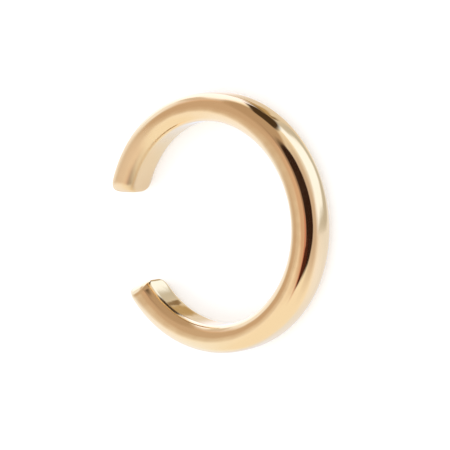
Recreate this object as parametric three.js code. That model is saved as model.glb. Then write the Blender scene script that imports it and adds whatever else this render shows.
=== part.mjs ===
// A plain ear cuff: one polished gold-coloured bar with a domed outside and a flat inner wall,
// bent to an open ring. Units are millimetres and +Z is up.
// The cuff lies on its side on z = 0, its axis along Z through the origin, its gap towards -X.

import * as THREE from "three";

// Driving dimensions
const INNER_DIAMETER = 10.0; // across the hollow that the ear's rim sits in
const BAND_WIDTH = 2.0; // along the ring's axis
const BAND_THICKNESS = 1.4; // from the inner wall to the crown of the dome
const INNER_WALL_WIDTH = 1.2; // the flat part of the inside, between its two edges
const DOME_POWER = 2.9; // 2 is an ellipse, larger is squarer
const SIDE_FLAT_SHARE = 0.004; // of the half width, levelled off each side so that the cuff lies flat
const GAP_ANGLE = 47.5; // degrees at the ring's axis between the middles of the two end faces

// Ends, cut nearly parallel to each other and rounded by tumbling and polishing
const END_LEAN = 12; // degrees off the ring's radius, the outer side reaching further into the gap
const END_LEAN_REACH = 1.6; // of bar over which the lean fades out
const END_ROUNDING_LENGTH = 0.6; // of bar over which the width narrows to the end face
const END_ROUNDING_POWER = 2.2; // 2 is elliptical, larger is blunter
const END_FACE_WIDTH = 0.8; // left flat at the very end
const END_EDGE_RADIUS = 0.2; // between the end face and the dome or the inner wall

// Fineness of the mesh
const SECTION_POINTS = 36; // round the dome; the inner wall is one straight step between its edges
const ARC_STEPS = 90; // along the bar between its rounded ends
const END_STEPS = 8; // along each rounded end

// Polished gold finish
const GOLD_COLOUR = 0xe4b876;
const GOLD_ROUGHNESS = 0.12;
const GOLD_METALNESS = 1.0;

// Sizes worked out from the driving dimensions
const innerRadius = INNER_DIAMETER / 2;
const halfWidth = BAND_WIDTH / 2;
const halfWall = INNER_WALL_WIDTH / 2;
const domeHalfWidth = halfWidth * (1 + SIDE_FLAT_SHARE);
const wallDepthShare = (1 - (halfWall / domeHalfWidth) ** DOME_POWER) ** (1 / DOME_POWER);
const domeHalfThickness = BAND_THICKNESS / (1 + wallDepthShare);
const wallDepth = domeHalfThickness * wallDepthShare; // from the dome's centre in to the inner wall
const middleRadius = innerRadius + BAND_THICKNESS / 2;
const endAngle = THREE.MathUtils.degToRad(GAP_ANGLE / 2);

// Distance from the centre of a superellipse to its edge in a direction.
function superellipseReach(direction, halfThickness, halfSpan, power) {
  const across = Math.abs(Math.cos(direction) / halfThickness) ** power;
  const along = Math.abs(Math.sin(direction) / halfSpan) ** power;
  return (across + along) ** (-1 / power);
}

// Section of the bar, counterclockwise: x is out from the middle of the bar's thickness, away from the
// ring's axis, and y is along that axis from the middle of the bar's width.
function barSection() {
  const lastDirection = Math.PI - Math.atan2(halfWall, wallDepth);
  const points = [];
  for (let i = 0; i < SECTION_POINTS; i++) {
    const direction = lastDirection * ((2 * i) / (SECTION_POINTS - 1) - 1);
    const reach = superellipseReach(direction, domeHalfThickness, domeHalfWidth, DOME_POWER);
    const out = wallDepth + reach * Math.cos(direction) - BAND_THICKNESS / 2;
    const along = THREE.MathUtils.clamp(reach * Math.sin(direction), -halfWidth, halfWidth);
    points.push(new THREE.Vector2(out, along));
  }
  return points;
}

// Shares of its full thickness and width that the section keeps at a distance from the end's plane.
function sharesNearEnd(distance) {
  const faceShare = END_FACE_WIDTH / BAND_WIDTH;
  const faceRise = 1 - (1 - faceShare ** END_ROUNDING_POWER) ** (1 / END_ROUNDING_POWER);
  const rise = Math.min(1, faceRise + (distance / END_ROUNDING_LENGTH) * (1 - faceRise));
  const width = (1 - (1 - rise) ** END_ROUNDING_POWER) ** (1 / END_ROUNDING_POWER);
  const edge = Math.max(0, END_EDGE_RADIUS - distance);
  const inset = END_EDGE_RADIUS - Math.sqrt(END_EDGE_RADIUS ** 2 - edge ** 2);
  return new THREE.Vector2(1 - (2 * inset) / BAND_THICKNESS, width);
}

// How far the section leans at a distance from the end's plane, as a slope.
function leanNearEnd(distance) {
  const nearness = 1 - THREE.MathUtils.smoothstep(distance, 0, END_LEAN_REACH);
  return nearness * Math.tan(THREE.MathUtils.degToRad(END_LEAN));
}

// Distances along the bar from its first end to its last, closer together in the rounded ends.
function stationsAlongBar(length) {
  const nearEnd = [];
  for (let i = 0; i < END_STEPS; i++) {
    nearEnd.push(END_ROUNDING_LENGTH * (1 - Math.cos((Math.PI / 2) * (i / END_STEPS))));
  }
  const between = [];
  for (let i = 0; i <= ARC_STEPS; i++) {
    between.push(THREE.MathUtils.lerp(END_ROUNDING_LENGTH, length - END_ROUNDING_LENGTH, i / ARC_STEPS));
  }
  return [...nearEnd, ...between, ...nearEnd.map((distance) => length - distance).reverse()];
}

// The bar as one closed surface: rings of points joined by quads, and a flat face on each end.
function cuffBandGeometry() {
  const section = barSection();
  const length = 2 * (Math.PI - endAngle) * middleRadius;
  const stations = stationsAlongBar(length);
  const positions = [];
  for (const station of stations) {
    const distance = Math.min(station, length - station);
    const shares = sharesNearEnd(distance);
    const lean = leanNearEnd(distance) * (station < length / 2 ? 1 : -1);
    // the first end is on the +Y side of the gap, and the bar runs from it round the +X side
    const angle = Math.PI - endAngle - station / middleRadius;
    for (const point of section) {
      const out = point.x * shares.x;
      const radius = middleRadius + out;
      positions.push(
        radius * Math.cos(angle) - out * lean * Math.sin(angle),
        radius * Math.sin(angle) + out * lean * Math.cos(angle),
        halfWidth + point.y * shares.y,
      );
    }
  }

  const count = section.length;
  const indices = [];
  for (let s = 0; s < stations.length - 1; s++) {
    for (let i = 0; i < count; i++) {
      const here = s * count + i;
      const beside = s * count + ((i + 1) % count);
      indices.push(here, beside, beside + count, here, beside + count, here + count);
    }
  }
  const endTriangles = THREE.ShapeUtils.triangulateShape(section, []);
  const lastRing = (stations.length - 1) * count;
  for (const [a, b, c] of endTriangles) {
    indices.push(a, c, b);
    indices.push(lastRing + a, lastRing + b, lastRing + c);
  }

  const geometry = new THREE.BufferGeometry();
  geometry.setAttribute("position", new THREE.Float32BufferAttribute(positions, 3));
  geometry.setIndex(indices);
  geometry.computeVertexNormals();
  return geometry;
}

const polishedGold = new THREE.MeshStandardMaterial({
  color: GOLD_COLOUR,
  roughness: GOLD_ROUGHNESS,
  metalness: GOLD_METALNESS,
});

const cuffBand = new THREE.Mesh(cuffBandGeometry(), polishedGold);
cuffBand.name = "cuff_band";

const earCuff = new THREE.Group();
earCuff.add(cuffBand);

export default earCuff;
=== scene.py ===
"""Ear cuff: one bar of polished gold-coloured metal, domed outside and flat inside, bent to an open ring.

The file is laid out as a Blender add-on and is run as a script.
"""

import math

import bmesh
import bpy
from mathutils import Matrix, Vector


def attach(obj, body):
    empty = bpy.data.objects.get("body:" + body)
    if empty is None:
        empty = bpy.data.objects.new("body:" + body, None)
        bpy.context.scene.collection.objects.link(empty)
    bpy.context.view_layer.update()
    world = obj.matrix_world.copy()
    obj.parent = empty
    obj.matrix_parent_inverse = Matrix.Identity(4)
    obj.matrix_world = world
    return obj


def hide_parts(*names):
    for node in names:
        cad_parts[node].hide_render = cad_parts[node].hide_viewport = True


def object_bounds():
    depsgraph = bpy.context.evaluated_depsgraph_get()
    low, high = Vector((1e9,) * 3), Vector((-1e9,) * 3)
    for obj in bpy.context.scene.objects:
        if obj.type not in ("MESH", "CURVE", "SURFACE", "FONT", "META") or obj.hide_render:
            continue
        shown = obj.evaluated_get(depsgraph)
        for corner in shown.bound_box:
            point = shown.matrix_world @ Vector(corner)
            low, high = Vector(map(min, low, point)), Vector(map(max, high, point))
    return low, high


bl_info = {
    "name": "Ear Cuff",
    "version": (1, 0, 0),
    "blender": (4, 5, 0),
    "location": "3D View > Sidebar > Ear Cuff",
    "description": "Models a plain polished ear cuff and the studio that it lies in",
    "category": "Add Mesh",
}

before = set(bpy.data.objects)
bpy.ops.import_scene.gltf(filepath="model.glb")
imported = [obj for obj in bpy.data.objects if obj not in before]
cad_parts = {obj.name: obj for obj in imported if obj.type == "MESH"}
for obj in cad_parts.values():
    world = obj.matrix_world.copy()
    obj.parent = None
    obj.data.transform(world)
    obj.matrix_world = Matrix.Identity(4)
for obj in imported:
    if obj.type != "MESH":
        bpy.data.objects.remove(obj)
cad_low, cad_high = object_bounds()

MM = 0.001

# Sizes of the band, taken from the frame's box where it gives them
BAND_WIDTH = cad_high.z - cad_low.z
OUTER_RADIUS = cad_high.x
BAND_THICKNESS = 1.4 * MM
INNER_WALL_WIDTH = 1.2 * MM
DOME_POWER = 2.9
GAP_ANGLE = math.radians(47.5)
END_LEAN = math.radians(12)
END_LEAN_REACH = 1.6 * MM
END_ROUNDING_LENGTH = 0.6 * MM
END_ROUNDING_POWER = 2.2
END_FACE_WIDTH = 0.8 * MM
END_EDGE_RADIUS = 0.2 * MM
WALL_EDGE_EASE = 0.06 * MM
WALL_EDGE_ROOM = 0.11 * MM

# Fineness of the band's mesh
CORNER_SEGMENTS = 26
MIDDLE_CUTS = (17, 21)
END_STATIONS = 18
END_RIM_SHARES = (0.97, 0.90)
EDGE_SEGMENTS = 4

# How near two parts of the mesh have to be to count as one, in mm and for a turn in radians
SAME_PLACE = 1e-4
SAME_TURN = 1e-4
SAME_RING = 3e-4
RING_SPACING = 5e-4
WALL_EDGE_FOUND = 0.005 * MM

# Polish and wear of the metal, and a painted highlight of paler colour along its edges. The reach of the
# edges' wear and painted highlight is in mm, and each roughness here is added to the metal's own.
POLISH_LINES_PER_MM = 14.0
POLISH_LINE_STRETCH = 22.0
POLISH_LINE_HEIGHT = 0.0012 * MM
POLISH_PATCHES_PER_MM = 0.55
RIPPLES_PER_MM = 0.9
RIPPLE_HEIGHT = 0.012 * MM
EDGE_WEAR_AND_HIGHLIGHT_REACH = 0.13
EDGE_WEAR_AND_HIGHLIGHT_PATCHES_PER_MM = 3.2
HAZE_PATCHES_PER_METRE = 420.0
TONE_PATCHES_PER_METRE = 160.0
LINE_ROUGHNESS = 0.05
WORN_ROUGHNESS = 0.06
PINCHED_SPOT = (-4.7 * MM, 3.3 * MM, 1.6 * MM)
PINCHED_REACH = 4.2 * MM
PINCHED_HAZE = 0.36

# The floor: a plain sheet that gives off a little light of its own, just under the cuff
FLOOR_SPAN = 3.0
FLOOR_DROP = 2e-6
FLOOR_ROUGHNESS = 0.9
FLOOR_GLOW = 0.35

# The camera's place round the cuff, and the part of the view that the cuff is off its middle
CAMERA_AZIMUTH = math.radians(-1.75)
CAMERA_ELEVATION = math.radians(51.3)
CAMERA_ROLL = math.radians(98.2)
CAMERA_DISTANCE = 293 * MM
VIEW_WIDTH = 21.97 * MM
AIM_RIGHT = 0.334 * MM
AIM_DOWN = 0.133 * MM
SENSOR_WIDTH = 36.0


def deselect_all():
    """Leaves nothing selected, the frame's own nodes included."""
    for item in bpy.context.selected_objects:
        item.select_set(False)
    bpy.context.view_layer.objects.active = None


def select_in_edit_mode(piece, kind, test):
    """Selects the vertices, edges or faces of the piece in edit mode whose place passes the test."""
    mesh = bmesh.from_edit_mesh(piece.data)
    bpy.ops.mesh.select_all(action="DESELECT")
    bpy.ops.mesh.select_mode(type=kind)
    parts = {"VERT": mesh.verts, "EDGE": mesh.edges, "FACE": mesh.faces}[kind]
    for part in parts:
        if test(part):
            part.select_set(True)
    mesh.select_flush_mode()
    bmesh.update_edit_mesh(piece.data)


def runs_along(edge):
    """Whether an edge of the straight bar runs along it and not across."""
    return abs(edge.verts[0].co.x - edge.verts[1].co.x) > SAME_PLACE


def end_shares(distance):
    """Shares of its thickness and width that the bar keeps at a distance in mm from the end's plane."""
    power = END_ROUNDING_POWER
    face_share = END_FACE_WIDTH / BAND_WIDTH
    face_rise = 1 - (1 - face_share**power) ** (1 / power)
    rise = min(1, face_rise + distance * MM / END_ROUNDING_LENGTH * (1 - face_rise))
    width_share = (1 - (1 - rise) ** power) ** (1 / power)
    edge = max(0, END_EDGE_RADIUS - distance * MM)
    inset = END_EDGE_RADIUS - math.sqrt(END_EDGE_RADIUS**2 - edge**2)
    return 1 - 2 * inset / BAND_THICKNESS, width_share


def end_lean(distance):
    """Angle that the bar's section is turned off the ring's radius at a distance in mm from the end."""
    share = min(1, distance * MM / END_LEAN_REACH)
    return math.atan(math.tan(END_LEAN) * (1 - share * share * (3 - 2 * share)))


class CuffBandSettings(bpy.types.PropertyGroup):
    """Sizes of the band that a maker would change."""

    thickness: bpy.props.FloatProperty(
        name="Thickness",
        description="From the inner wall to the crown of the dome",
        default=BAND_THICKNESS,
        min=0.5 * MM,
        unit="LENGTH",
        subtype="DISTANCE",
    )
    width: bpy.props.FloatProperty(
        name="Width",
        description="Along the ring's axis",
        default=BAND_WIDTH,
        min=0.5 * MM,
        unit="LENGTH",
        subtype="DISTANCE",
    )
    inner_wall_width: bpy.props.FloatProperty(
        name="Inner wall width",
        description="The flat part of the inside, between its two edges",
        default=INNER_WALL_WIDTH,
        unit="LENGTH",
        subtype="DISTANCE",
    )
    outer_radius: bpy.props.FloatProperty(
        name="Outer radius",
        description="From the ring's axis to the crown of the dome",
        default=OUTER_RADIUS,
        unit="LENGTH",
        subtype="DISTANCE",
    )
    gap_angle: bpy.props.FloatProperty(
        name="Gap",
        description="Angle at the ring's axis between the middles of the two end faces",
        default=GAP_ANGLE,
        unit="ROTATION",
        subtype="ANGLE",
    )
    edge_ease: bpy.props.FloatProperty(
        name="Edge ease",
        description="Width of the softened edge between the dome and the inner wall",
        default=WALL_EDGE_EASE,
        unit="LENGTH",
        subtype="DISTANCE",
    )


class PolishedGoldSettings(bpy.types.PropertyGroup):
    """Colour and polish of the metal."""

    colour: bpy.props.FloatVectorProperty(
        name="Gold",
        description="Colour of the polished metal",
        default=(0.92, 0.74, 0.47),
        size=3,
        min=0,
        max=1,
        subtype="COLOR",
    )
    rosy_colour: bpy.props.FloatVectorProperty(
        name="Rosy gold",
        description="Colour that the metal drifts to in places",
        default=(0.93, 0.72, 0.45),
        size=3,
        min=0,
        max=1,
        subtype="COLOR",
    )
    # paler colour along the rubbed edges: partly their wear, partly a painted highlight
    worn_and_highlight_colour: bpy.props.FloatVectorProperty(
        name="Worn gold",
        description="Paler colour of the rubbed edges",
        default=(0.96, 0.82, 0.60),
        size=3,
        min=0,
        max=1,
        subtype="COLOR",
    )
    roughness: bpy.props.FloatProperty(
        name="Roughness",
        description="Roughness where the polish is best",
        default=0.05,
        min=0,
        max=1,
        subtype="FACTOR",
    )
    haze_roughness: bpy.props.FloatProperty(
        name="Haze roughness",
        description="Roughness where handling has clouded the polish",
        default=0.11,
        min=0,
        max=1,
        subtype="FACTOR",
    )


class StudioSettings(bpy.types.PropertyGroup):
    """The floor and the light round the cuff."""

    floor_colour: bpy.props.FloatVectorProperty(
        name="Floor",
        description="Colour of the plain floor",
        default=(0.96, 0.96, 0.96),
        size=3,
        min=0,
        max=1,
        subtype="COLOR",
    )
    tent_strength: bpy.props.FloatProperty(
        name="Tent",
        description="Brightness of the light tent",
        default=1.0,
        min=0,
    )


class CUFF_OT_make_band(bpy.types.Operator):
    """Models the band as a straight bar, shapes its section and ends, and bends it round"""

    bl_idname = "cuff.make_band"
    bl_label = "Make Band"

    def execute(self, context):
        size = context.scene.cuff_band
        bar = self.straight_bar(size)
        self.shape_section(bar, size)
        rings = self.end_rings(bar, size)
        self.round_ends(bar, size, rings)
        self.bend(bar, size)
        self.lean_ends(bar, size, rings)
        self.lay_down(bar, size)
        bar.data.materials.append(polished_gold(context.scene.polished_gold))
        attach(bar, "root")
        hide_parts("cuff_band")
        deselect_all()
        return {"FINISHED"}

    def bar_length(self, size):
        """Length in mm along the middle of the bar's thickness."""
        middle_radius = size.outer_radius - size.thickness / 2
        return (2 * math.pi - size.gap_angle) * middle_radius / MM

    def stations(self):
        """Distances in mm from an end's plane at which the bar is shaped, closer together near the end."""
        reach = END_ROUNDING_LENGTH / MM
        quarter = math.pi / 2
        return [reach * (1 - math.cos(quarter * i / END_STATIONS)) for i in range(END_STATIONS + 1)]

    def straight_bar(self, size):
        """A bar with a square section two units across, as long in mm as the band, cut crosswise."""
        length = self.bar_length(size)
        deselect_all()
        bpy.ops.mesh.primitive_cube_add(size=2, location=(0, 0, 0), scale=(length / 2, 1, 1))
        bpy.ops.object.transform_apply(location=True, rotation=True, scale=True)
        bar = bpy.context.active_object
        bar.name = "cuff_band_polished"
        bpy.ops.object.mode_set(mode="EDIT")
        for distance in self.stations()[1:]:
            for side in (-1, 1):
                bpy.ops.mesh.select_all(action="SELECT")
                bpy.ops.mesh.bisect(
                    plane_co=(side * (length / 2 - distance), 0, 0),
                    plane_no=(1, 0, 0),
                    threshold=1e-5,
                )
        middle = length / 2 - END_ROUNDING_LENGTH / MM + 10 * SAME_PLACE
        for cuts in MIDDLE_CUTS:
            select_in_edit_mode(
                bar,
                "EDGE",
                lambda edge: runs_along(edge) and max(abs(vertex.co.x) for vertex in edge.verts) < middle,
            )
            bpy.ops.mesh.subdivide(number_cuts=cuts)
        return bar

    def shape_section(self, bar, size):
        """Rounds the square section, flattens its inner side and eases that side's two edges."""
        half_width = size.width / 2 / MM
        half_wall = size.inner_wall_width / 2 / MM
        depth_share = (1 - (half_wall / half_width) ** DOME_POWER) ** (1 / DOME_POWER)
        half_thickness = size.thickness / MM / (1 + depth_share)
        wall = size.thickness / 2 / MM
        select_in_edit_mode(
            bar,
            "EDGE",
            lambda edge: runs_along(edge)
            and abs(abs(edge.verts[0].co.y) - 1) < SAME_PLACE
            and abs(abs(edge.verts[0].co.z) - 1) < SAME_PLACE,
        )
        # the bevel's profile 0.5 is an ellipse, and this is its value for another power
        profile = 0.5 ** (2 / DOME_POWER)
        bpy.ops.mesh.bevel(offset=1.0, segments=CORNER_SEGMENTS, profile=profile, affect="EDGES")
        bpy.ops.mesh.select_all(action="SELECT")
        bpy.ops.mesh.remove_doubles(threshold=SAME_PLACE)
        bpy.ops.transform.resize(value=(1, half_thickness, half_width), center_override=(0, 0, 0))
        bpy.ops.transform.translate(value=(0, wall - half_thickness * depth_share, 0))
        bpy.ops.mesh.bisect(plane_co=(0, wall, 0), plane_no=(0, 1, 0), threshold=1e-5)
        select_in_edit_mode(bar, "VERT", lambda vertex: vertex.co.y > wall - SAME_PLACE)
        bpy.ops.transform.resize(value=(1, 0, 1), center_override=(0, wall, 0))
        # the levelled strip leaves a sliver on each end face, which joins the face
        select_in_edit_mode(
            bar,
            "EDGE",
            lambda edge: all(abs(vertex.co.y - wall) < SAME_PLACE for vertex in edge.verts)
            and abs(edge.verts[0].co.z - edge.verts[1].co.z) > 2 * half_wall - 0.01,
        )
        bpy.ops.mesh.dissolve_edges(use_verts=False)

        def from_wall_edge(edge):
            """Distance in mm of a long edge from the wall's nearest edge, and endless for a cross edge."""
            if not runs_along(edge):
                return math.inf
            place_of_edge = edge.verts[0].co
            return math.hypot(place_of_edge.y - wall, abs(place_of_edge.z) - half_wall)

        # the long edges close to the wall's two edges make room for the easing
        select_in_edit_mode(
            bar,
            "EDGE",
            lambda edge: WALL_EDGE_FOUND / MM < from_wall_edge(edge) < WALL_EDGE_ROOM / MM,
        )
        bpy.ops.mesh.dissolve_edges(use_verts=True)
        select_in_edit_mode(bar, "EDGE", lambda edge: from_wall_edge(edge) < WALL_EDGE_FOUND / MM)
        bpy.ops.mesh.bevel(
            offset=size.edge_ease / MM,
            segments=EDGE_SEGMENTS,
            profile=0.5,
            affect="EDGES",
        )

    def end_rings(self, bar, size):
        """Distances in mm from an end's plane of the rings of vertices that shape the ends."""
        half = self.bar_length(size) / 2
        mesh = bmesh.from_edit_mesh(bar.data)
        rings = [0.0]
        for distance in sorted(half - abs(vertex.co.x) for vertex in mesh.verts):
            if distance > rings[-1] + RING_SPACING and distance * MM < END_LEAN_REACH:
                rings.append(distance)
        return rings

    def round_ends(self, bar, size, rings):
        """Narrows the bar ring by ring towards its ends, and adds a rim inside each flat end face."""
        half = self.bar_length(size) / 2
        for distance in rings:
            thickness_share, width_share = end_shares(distance)
            # a ring that leans is made longer, so that it keeps its thickness across the ring's radius
            thickness_share /= math.cos(end_lean(distance))
            select_in_edit_mode(
                bar, "VERT", lambda vertex: abs(abs(vertex.co.x) - (half - distance)) < SAME_RING
            )
            bpy.ops.transform.resize(value=(1, thickness_share, width_share), center_override=(0, 0, 0))
        for side in (-1, 1):
            for share in END_RIM_SHARES:
                select_in_edit_mode(
                    bar, "FACE", lambda face: face.normal.x * side > 0.99 and len(face.verts) > 4
                )
                bpy.ops.mesh.extrude_region()
                bpy.ops.transform.resize(value=(1, share, share), center_override=(0, 0, 0))

    def bend(self, bar, size):
        """Bends the bar to the open ring round the origin, its inner wall inside and its gap towards +Y."""
        middle_radius = size.outer_radius - size.thickness / 2
        bpy.ops.object.mode_set(mode="OBJECT")
        bpy.ops.object.modifier_add(type="SIMPLE_DEFORM")
        deform = bar.modifiers[-1]
        deform.deform_method = "BEND"
        deform.deform_axis = "Z"
        deform.angle = 2 * math.pi - size.gap_angle
        bpy.ops.object.modifier_apply(modifier=deform.name)
        bpy.ops.object.mode_set(mode="EDIT")
        bpy.ops.mesh.select_all(action="SELECT")
        bpy.ops.transform.translate(value=(0, -middle_radius / MM, 0))

    def lean_ends(self, bar, size, rings):
        """Turns the rings near each end so that the bar's outer side reaches further into the gap."""
        middle_radius = (size.outer_radius - size.thickness / 2) / MM
        half_angle = self.bar_length(size) / 2 / middle_radius
        mesh = bmesh.from_edit_mesh(bar.data)
        turns = {vertex.index: math.atan2(vertex.co.x, -vertex.co.y) for vertex in mesh.verts}
        for distance in rings:
            for side in (-1, 1):
                turn = side * (half_angle - distance / middle_radius)
                select_in_edit_mode(bar, "VERT", lambda vertex: abs(turns[vertex.index] - turn) < SAME_TURN)
                # with no window open, a positive value turns clockwise round Z
                bpy.ops.transform.rotate(
                    value=-side * end_lean(distance),
                    orient_axis="Z",
                    center_override=(middle_radius * math.sin(turn), -middle_radius * math.cos(turn), 0),
                )

    def lay_down(self, bar, size):
        """Lays the ring on its side on the floor, in metres, with its gap towards -X."""
        bpy.ops.object.mode_set(mode="OBJECT")
        bar.rotation_euler = (0, 0, math.pi / 2)
        bar.scale = (MM, MM, MM)
        bar.location = (0, 0, size.width / 2)
        bpy.ops.object.transform_apply(location=True, rotation=True, scale=True)
        bpy.ops.object.mode_set(mode="EDIT")
        bpy.ops.mesh.select_all(action="SELECT")
        bpy.ops.mesh.normals_make_consistent(inside=False)
        bpy.ops.object.mode_set(mode="OBJECT")
        bpy.ops.object.shade_smooth()


def new_group(name, inputs, outputs):
    """A shader node group with named float, vector and colour sockets, and its input and output nodes."""
    kinds = {"value": "NodeSocketFloat", "vector": "NodeSocketVector", "colour": "NodeSocketColor"}
    tree = bpy.data.node_groups.new(name, "ShaderNodeTree")
    for label, kind in inputs:
        tree.interface.new_socket(label, in_out="INPUT", socket_type=kinds[kind])
    for label, kind in outputs:
        tree.interface.new_socket(label, in_out="OUTPUT", socket_type=kinds[kind])
    return tree, tree.nodes.new("NodeGroupInput"), tree.nodes.new("NodeGroupOutput")


def place(tree, kind, label="", settings=None, inputs=None):
    """Adds a node, sets its properties, and sets or links the inputs that are given by name or number."""
    node = tree.nodes.new(kind)
    node.label = label
    for key, value in (settings or {}).items():
        setattr(node, key, value)
    for key, value in (inputs or {}).items():
        if isinstance(value, bpy.types.NodeSocket):
            tree.links.new(value, node.inputs[key])
        else:
            node.inputs[key].default_value = value
    return node


def maths(tree, operation, *values):
    """A Math node's result for sockets or plain numbers."""
    inputs = dict(enumerate(values))
    return place(tree, "ShaderNodeMath", settings={"operation": operation}, inputs=inputs).outputs[0]


def faded(tree, value, low, high, at_low=0.0, at_high=1.0):
    """A smooth step from one value to another as the input goes from low to high."""
    node = place(
        tree,
        "ShaderNodeMapRange",
        settings={"interpolation_type": "SMOOTHSTEP"},
        inputs={"Value": value, "From Min": low, "From Max": high, "To Min": at_low, "To Max": at_high},
    )
    return node.outputs["Result"]


def band_place_group():
    """Node group that unrolls the band: millimetres along it, from its axis, and above its middle plane."""
    tree, given, result = new_group(
        "Band Place",
        [("Position", "vector"), ("Middle Radius", "value"), ("Half Width", "value")],
        [("Along", "value"), ("Out", "value"), ("Up", "value"), ("Unrolled", "vector")],
    )
    split = place(tree, "ShaderNodeSeparateXYZ", inputs={0: given.outputs["Position"]})
    x, y, z = (maths(tree, "MULTIPLY", split.outputs[axis], 1000.0) for axis in "XYZ")
    angle = maths(tree, "ARCTAN2", y, x)
    along = maths(tree, "MULTIPLY", angle, given.outputs["Middle Radius"])
    squares = maths(tree, "ADD", maths(tree, "MULTIPLY", x, x), maths(tree, "MULTIPLY", y, y))
    out = maths(tree, "SQRT", squares)
    up = maths(tree, "SUBTRACT", z, given.outputs["Half Width"])
    unrolled = place(tree, "ShaderNodeCombineXYZ", inputs={"X": along, "Y": out, "Z": up})
    for label, socket in (("Along", along), ("Out", out), ("Up", up), ("Unrolled", unrolled.outputs[0])):
        tree.links.new(socket, result.inputs[label])
    return tree


def polish_lines_group():
    """Node group for the hairlines that a polishing wheel leaves along the band, as a height and a mask."""
    tree, given, result = new_group(
        "Polish Lines",
        [("Unrolled", "vector"), ("Lines per mm", "value"), ("Stretch", "value")],
        [("Height", "value"), ("Mask", "value")],
    )
    across = given.outputs["Lines per mm"]
    along = maths(tree, "DIVIDE", across, given.outputs["Stretch"])
    scale = place(tree, "ShaderNodeCombineXYZ", inputs={"X": along, "Y": across, "Z": across})
    stretched = place(
        tree,
        "ShaderNodeVectorMath",
        settings={"operation": "MULTIPLY"},
        inputs={0: given.outputs["Unrolled"], 1: scale.outputs[0]},
    )
    lines = place(
        tree,
        "ShaderNodeTexNoise",
        "fine lines",
        inputs={"Vector": stretched.outputs[0], "Scale": 1.0, "Detail": 3.0, "Roughness": 0.6},
    )
    patches = place(
        tree,
        "ShaderNodeTexNoise",
        "where the lines show",
        inputs={"Vector": given.outputs["Unrolled"], "Scale": POLISH_PATCHES_PER_MM, "Detail": 1.0},
    )
    shown = faded(tree, patches.outputs["Fac"], 0.42, 0.66)
    height = maths(tree, "MULTIPLY", lines.outputs["Fac"], shown)
    mask = maths(tree, "MULTIPLY", faded(tree, lines.outputs["Fac"], 0.5, 0.72), shown)
    tree.links.new(height, result.inputs["Height"])
    tree.links.new(mask, result.inputs["Mask"])
    return tree


def edge_wear_and_highlight_group():
    """Node group that masks the inner wall's two edges and the end faces' rims unevenly, for the edges' wear
    and for the painted highlight along them.
    """
    tree, given, result = new_group(
        "Edge Wear and Highlight",
        [
            ("Along", "value"),
            ("Out", "value"),
            ("Up", "value"),
            ("Unrolled", "vector"),
            ("Wall Radius", "value"),
            ("Wall Half Width", "value"),
            ("Face Along", "value"),
            ("Face Lean", "value"),
            ("Middle Radius", "value"),
            ("Reach", "value"),
        ],
        [("Mask", "value")],
    )
    side = maths(tree, "ABSOLUTE", given.outputs["Up"])
    from_wall = maths(tree, "SUBTRACT", given.outputs["Out"], given.outputs["Wall Radius"])
    from_edge = maths(tree, "SUBTRACT", side, given.outputs["Wall Half Width"])
    squares = maths(
        tree,
        "ADD",
        maths(tree, "MULTIPLY", from_wall, from_wall),
        maths(tree, "MULTIPLY", from_edge, from_edge),
    )
    wall_edge = maths(tree, "SQRT", squares)
    from_middle = maths(tree, "SUBTRACT", given.outputs["Out"], given.outputs["Middle Radius"])
    face = maths(tree, "MULTIPLY_ADD", from_middle, given.outputs["Face Lean"], given.outputs["Face Along"])
    along = maths(tree, "ABSOLUTE", given.outputs["Along"])
    face_edge = maths(tree, "ABSOLUTE", maths(tree, "SUBTRACT", face, along))
    nearest = maths(tree, "SMOOTH_MIN", wall_edge, face_edge, 0.03)
    # uneven reach of the edges' mask, for their wear and for their painted highlight
    uneven_edge_reach = place(
        tree,
        "ShaderNodeTexNoise",
        "uneven wear",
        inputs={
            "Vector": given.outputs["Unrolled"],
            "Scale": EDGE_WEAR_AND_HIGHLIGHT_PATCHES_PER_MM,
            "Detail": 4.0,
            "Roughness": 0.65,
        },
    )
    reach_share = faded(tree, uneven_edge_reach.outputs["Fac"], 0.3, 0.7, 0.35, 1.0)
    uneven = maths(tree, "MULTIPLY", given.outputs["Reach"], reach_share)
    share = maths(tree, "DIVIDE", nearest, uneven)
    tree.links.new(faded(tree, share, 0.25, 1.0, 1.0, 0.0), result.inputs["Mask"])
    return tree


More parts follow.
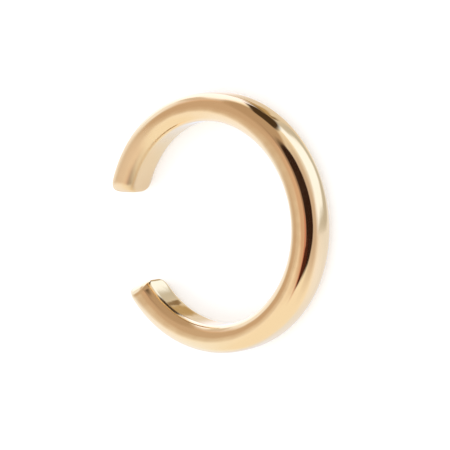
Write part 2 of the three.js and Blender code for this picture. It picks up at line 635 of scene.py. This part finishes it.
def polished_gold(settings):
    """The metal: polished by wheel and by wear, with hairlines, haze, slow ripples and brighter edges, whose
    paler colour is a painted highlight as well as wear.
    """
    material = bpy.data.materials.new("polished_gold")
    material.use_nodes = True
    tree = material.node_tree
    shader = tree.nodes["Principled BSDF"]
    shader.inputs["Metallic"].default_value = 1.0
    position = place(tree, "ShaderNodeTexCoord").outputs["Object"]
    middle_radius = (OUTER_RADIUS - BAND_THICKNESS / 2) / MM
    half_arc = (math.pi - GAP_ANGLE / 2) * middle_radius
    spot = place(
        tree,
        "ShaderNodeGroup",
        settings={"node_tree": band_place_group()},
        inputs={"Position": position, "Middle Radius": middle_radius, "Half Width": BAND_WIDTH / 2 / MM},
    )
    lines = place(
        tree,
        "ShaderNodeGroup",
        settings={"node_tree": polish_lines_group()},
        inputs={
            "Unrolled": spot.outputs["Unrolled"],
            "Lines per mm": POLISH_LINES_PER_MM,
            "Stretch": POLISH_LINE_STRETCH,
        },
    )
    # the edges' mask: rougher worn edges, and a painted highlight in their colour
    wear = place(
        tree,
        "ShaderNodeGroup",
        settings={"node_tree": edge_wear_and_highlight_group()},
        inputs={
            "Along": spot.outputs["Along"],
            "Out": spot.outputs["Out"],
            "Up": spot.outputs["Up"],
            "Unrolled": spot.outputs["Unrolled"],
            "Wall Radius": (OUTER_RADIUS - BAND_THICKNESS) / MM,
            "Wall Half Width": INNER_WALL_WIDTH / 2 / MM,
            "Face Along": half_arc,
            "Face Lean": math.tan(END_LEAN),
            "Middle Radius": middle_radius,
            "Reach": EDGE_WEAR_AND_HIGHLIGHT_REACH,
        },
    )
    haze = place(
        tree,
        "ShaderNodeTexNoise",
        "handling haze",
        inputs={"Vector": position, "Scale": HAZE_PATCHES_PER_METRE, "Detail": 4.0, "Roughness": 0.6},
    )
    tone = place(
        tree,
        "ShaderNodeTexNoise",
        "tone of the plating",
        inputs={"Vector": position, "Scale": TONE_PATCHES_PER_METRE, "Detail": 2.0},
    )
    colour = place(
        tree,
        "ShaderNodeMix",
        settings={"data_type": "RGBA"},
        inputs={
            "Factor": faded(tree, tone.outputs["Fac"], 0.35, 0.65),
            "A": (*settings.colour, 1),
            "B": (*settings.rosy_colour, 1),
        },
    )
    # paler colour along the edges: a painted highlight, partly also their wear
    worn_and_highlight_colour = place(
        tree,
        "ShaderNodeMix",
        settings={"data_type": "RGBA"},
        inputs={
            "Factor": maths(tree, "MULTIPLY", wear.outputs["Mask"], 0.6),
            "A": colour.outputs["Result"],
            "B": (*settings.worn_and_highlight_colour, 1),
        },
    )
    tree.links.new(worn_and_highlight_colour.outputs["Result"], shader.inputs["Base Color"])
    clouded = faded(tree, haze.outputs["Fac"], 0.40, 0.70, settings.roughness, settings.haze_roughness)
    from_pinch = place(
        tree,
        "ShaderNodeVectorMath",
        "where fingers pinch the cuff",
        settings={"operation": "DISTANCE"},
        inputs={0: position, 1: PINCHED_SPOT},
    )
    pinched = faded(tree, from_pinch.outputs["Value"], PINCHED_REACH * 0.3, PINCHED_REACH, PINCHED_HAZE, 0.0)
    clouded = maths(tree, "ADD", clouded, pinched)
    scratched = maths(tree, "MULTIPLY_ADD", lines.outputs["Mask"], LINE_ROUGHNESS, clouded)
    rubbed = maths(tree, "MULTIPLY_ADD", wear.outputs["Mask"], WORN_ROUGHNESS, scratched)
    tree.links.new(rubbed, shader.inputs["Roughness"])
    ripple = place(
        tree,
        "ShaderNodeTexNoise",
        "slow ripple",
        inputs={"Vector": spot.outputs["Unrolled"], "Scale": RIPPLES_PER_MM, "Detail": 1.5},
    )
    rippled = place(
        tree,
        "ShaderNodeBump",
        inputs={
            "Height": ripple.outputs["Fac"],
            "Strength": 1.0,
            "Distance": RIPPLE_HEIGHT,
        },
    )
    lined = place(
        tree,
        "ShaderNodeBump",
        inputs={
            "Height": lines.outputs["Height"],
            "Strength": 1.0,
            "Distance": POLISH_LINE_HEIGHT,
            "Normal": rippled.outputs["Normal"],
        },
    )
    tree.links.new(lined.outputs["Normal"], shader.inputs["Normal"])
    return material


# Soft panels of the light tent as the polished metal mirrors them, in the order that they cover each other.
# Azimuth from +X towards +Y and elevation of the middle, half the length and width, the softness of the
# border as a share, the turn of the length from the level, how far its ends bow, and the light's colour.
# Angles are in degrees.
TENT_PANELS = [
    ("left_blue", -174, 0, 36, 42, 0.8, 20, 5, (1.05, 1.12, 1.32)),
    ("left_floor", -118, -68, 50, 16, 1, -10, 8, (1, 1.05, 1.22)),
    ("white_side", 127, -20, 27, 36, 0.5, -5, -4, (1.3, 1.35, 1.7)),
    ("pale_back", 150, 20, 38, 18, 0.5, 0, 0, (1, 1.05, 1.18)),
    ("tan_low", 126, 15, 7, 14, 1, 0, 0, (0.74, 0.68, 0.66)),
    ("floor_pale", -54, -79, 58, 24, 0.7, 10, 0, (0.9, 0.94, 1.06)),
    ("floor_side", 110, -60, 20, 11, 1, 0, -8, (0.8, 0.74, 0.66)),
    ("floor_grey", 32, -71, 35, 8, 0.8, 0, -16, (0.6, 0.6, 0.6)),
    ("floor_glow", 32, -52, 42, 8, 0.8, 2, -8, (1.12, 1.28, 1.6)),
    ("near_floor", 0, -16, 50, 22, 1, 4, 4, (0.66, 0.55, 0.5)),
    ("rose_top", 48, 88, 64, 24, 0.6, 0, 16, (0.71, 0.5, 0.39)),
    ("red_top", -32, 71, 28, 9, 0.7, 5, 3, (0.62, 0.28, 0.21)),
    ("tan_back", 135, 54, 46, 14, 0.9, 0, 20, (0.62, 0.48, 0.38)),
    ("beige_side", 77, 21, 30, 42, 0.5, -5, -18, (0.51, 0.38, 0.28)),
    ("brown_top", 40, 71, 24, 8, 1, 4, 3, (0.38, 0.26, 0.2)),
    ("dark_front", 2, 26, 47, 37, 0.25, 5, -16, (0.035, 0.015, 0.01)),
    ("dark_left", -50, 50, 12, 18, 0.5, 45, 4, (0.08, 0.02, 0.01)),
    ("dark_crescent", 78, -26, 22, 12, 0.35, -67, -3, (0.07, 0.045, 0.025)),
    ("brown_crescent", 100, -46, 8, 3, 0.8, -6, -2, (0.3, 0.22, 0.12)),
    ("low_brown", 106, -50, 13, 2, 0.7, 0, -2, (0.52, 0.38, 0.2)),
    ("low_dark", 90, -50, 2, 2, 0.8, 0, 0, (0.28, 0.2, 0.12)),
]
TENT_COLOUR = (1, 0.96, 0.89)


def soft_panel_group():
    """Node group that lays a soft-edged panel of the tent over the light, by the direction looked in."""
    tree, given, result = new_group(
        "Soft Panel",
        [
            ("Behind", "colour"),
            ("Direction", "vector"),
            ("Azimuth", "value"),
            ("Elevation", "value"),
            ("Half Length", "value"),
            ("Half Width", "value"),
            ("Softness", "value"),
            ("Turn", "value"),
            ("Bow", "value"),
            ("Light", "colour"),
        ],
        [("Colour", "colour")],
    )
    # turns the sky so that the panel's middle comes to +X and its length lies level
    direction = given.outputs["Direction"]
    turns = (("Z_AXIS", "Azimuth", -1.0), ("Y_AXIS", "Elevation", 1.0), ("X_AXIS", "Turn", -1.0))
    for axis, label, sign in turns:
        angle = maths(tree, "MULTIPLY", maths(tree, "RADIANS", given.outputs[label]), sign)
        direction = place(
            tree,
            "ShaderNodeVectorRotate",
            settings={"rotation_type": axis},
            inputs={"Vector": direction, "Angle": angle},
        ).outputs[0]
    split = place(tree, "ShaderNodeSeparateXYZ", inputs={0: direction})
    level = maths(tree, "DEGREES", maths(tree, "ARCTAN2", split.outputs["Y"], split.outputs["X"]))
    above = maths(tree, "DEGREES", maths(tree, "ARCSINE", split.outputs["Z"]))
    length_share = maths(tree, "DIVIDE", level, given.outputs["Half Length"])
    square = maths(tree, "MULTIPLY", length_share, length_share)
    bowed = maths(tree, "MULTIPLY_ADD", given.outputs["Bow"], square, above)
    width_share = maths(tree, "DIVIDE", bowed, given.outputs["Half Width"])
    # the panel's outline is a rectangle with well rounded corners
    shares = [maths(tree, "ABSOLUTE", share) for share in (length_share, width_share)]
    fourths = [maths(tree, "POWER", share, 4.0) for share in shares]
    reach = maths(tree, "POWER", maths(tree, "ADD", *fourths), 0.25)
    half_fade = maths(tree, "MULTIPLY", given.outputs["Softness"], 0.5)
    start = maths(tree, "SUBTRACT", 1.0, half_fade)
    stop = maths(tree, "ADD", 1.0, half_fade)
    mix = place(
        tree,
        "ShaderNodeMix",
        settings={"data_type": "RGBA"},
        inputs={
            "Factor": faded(tree, reach, start, stop, 1.0, 0.0),
            "A": given.outputs["Behind"],
            "B": given.outputs["Light"],
        },
    )
    tree.links.new(mix.outputs["Result"], result.inputs["Colour"])
    return tree


class CUFF_OT_make_stage(bpy.types.Operator):
    """Sets the plain floor, the soft light and the camera"""

    bl_idname = "cuff.make_stage"
    bl_label = "Make Stage"

    def execute(self, context):
        studio = context.scene.cuff_studio
        self.floor(studio)
        self.light_tent(context.scene, studio)
        self.camera(context.scene)
        context.scene.view_settings.view_transform = "Standard"
        return {"FINISHED"}

    def floor(self, studio):
        """A plain pale floor, which the metal doesn't mirror."""
        deselect_all()
        bpy.ops.mesh.primitive_plane_add(size=FLOOR_SPAN, location=(0, 0, -FLOOR_DROP))
        floor = bpy.context.active_object
        floor.name = "floor"
        material = bpy.data.materials.new("pale_floor")
        material.use_nodes = True
        shader = material.node_tree.nodes["Principled BSDF"]
        shader.inputs["Base Color"].default_value = (*studio.floor_colour, 1)
        shader.inputs["Roughness"].default_value = FLOOR_ROUGHNESS
        shader.inputs["Emission Color"].default_value = (1, 1, 1, 1)
        shader.inputs["Emission Strength"].default_value = FLOOR_GLOW
        floor.data.materials.append(material)
        floor.visible_glossy = False
        deselect_all()

    def light_tent(self, scene, studio):
        """The world, as a white tent with soft panels that the polished metal mirrors."""
        world = bpy.data.worlds.new("light_tent")
        scene.world = world
        world.use_nodes = True
        tree = world.node_tree
        background = tree.nodes["Background"]
        background.inputs["Strength"].default_value = studio.tent_strength
        coordinates = place(tree, "ShaderNodeTexCoord")
        group = soft_panel_group()
        behind = (*TENT_COLOUR, 1)
        for name, azimuth, elevation, length, width, softness, turn, bow, light in TENT_PANELS:
            panel = place(
                tree,
                "ShaderNodeGroup",
                name,
                settings={"node_tree": group},
                inputs={
                    "Behind": behind,
                    "Direction": coordinates.outputs["Generated"],
                    "Azimuth": azimuth,
                    "Elevation": elevation,
                    "Half Length": length,
                    "Half Width": width,
                    "Softness": softness,
                    "Turn": turn,
                    "Bow": bow,
                    "Light": (*light, 1),
                },
            )
            behind = panel.outputs["Colour"]
        # only the metal's mirrored rays see the panels, so the floor stays evenly white
        ray = place(tree, "ShaderNodeLightPath")
        seen = place(
            tree,
            "ShaderNodeMix",
            settings={"data_type": "RGBA"},
            inputs={"Factor": ray.outputs["Is Glossy Ray"], "A": (1, 1, 1, 1), "B": behind},
        )
        tree.links.new(seen.outputs["Result"], background.inputs["Color"])

    def camera(self, scene):
        """A long lens at the photograph's angle to the cuff."""
        data = bpy.data.cameras.new("camera")
        camera = bpy.data.objects.new("camera", data)
        scene.collection.objects.link(camera)
        data.sensor_width = SENSOR_WIDTH
        data.lens = SENSOR_WIDTH * CAMERA_DISTANCE / VIEW_WIDTH
        back = Vector(
            (
                math.cos(CAMERA_AZIMUTH) * math.cos(CAMERA_ELEVATION),
                math.sin(CAMERA_AZIMUTH) * math.cos(CAMERA_ELEVATION),
                math.sin(CAMERA_ELEVATION),
            )
        )
        level_right = Vector((0, 0, 1)).cross(back).normalized()
        level_up = back.cross(level_right)
        right = level_right * math.cos(CAMERA_ROLL) - level_up * math.sin(CAMERA_ROLL)
        up = level_right * math.sin(CAMERA_ROLL) + level_up * math.cos(CAMERA_ROLL)
        aim = Vector((0, 0, BAND_WIDTH / 2)) + right * AIM_RIGHT - up * AIM_DOWN
        turn = Matrix((right, up, back)).transposed().to_4x4()
        camera.matrix_world = Matrix.Translation(aim + back * CAMERA_DISTANCE) @ turn
        data.clip_start = CAMERA_DISTANCE / 100
        scene.camera = camera


class CUFF_PT_panel(bpy.types.Panel):
    """The cuff's sizes, metal and studio"""

    bl_idname = "CUFF_PT_panel"
    bl_label = "Ear Cuff"
    bl_space_type = "VIEW_3D"
    bl_region_type = "UI"
    bl_category = "Ear Cuff"

    def draw(self, context):
        layout = self.layout
        for group in (context.scene.cuff_band, context.scene.polished_gold, context.scene.cuff_studio):
            for name in group.__annotations__:
                layout.prop(group, name)
        layout.operator(CUFF_OT_make_band.bl_idname)
        layout.operator(CUFF_OT_make_stage.bl_idname)


CLASSES = (
    CuffBandSettings,
    PolishedGoldSettings,
    StudioSettings,
    CUFF_OT_make_band,
    CUFF_OT_make_stage,
    CUFF_PT_panel,
)


def register():
    for item in CLASSES:
        bpy.utils.register_class(item)
    bpy.types.Scene.cuff_band = bpy.props.PointerProperty(type=CuffBandSettings)
    bpy.types.Scene.polished_gold = bpy.props.PointerProperty(type=PolishedGoldSettings)
    bpy.types.Scene.cuff_studio = bpy.props.PointerProperty(type=StudioSettings)


def unregister():
    del bpy.types.Scene.cuff_studio
    del bpy.types.Scene.polished_gold
    del bpy.types.Scene.cuff_band
    for item in reversed(CLASSES):
        bpy.utils.unregister_class(item)


def main():
    register()
    bpy.ops.cuff.make_band()
    bpy.ops.cuff.make_stage()


if __name__ == "__main__":
    main()
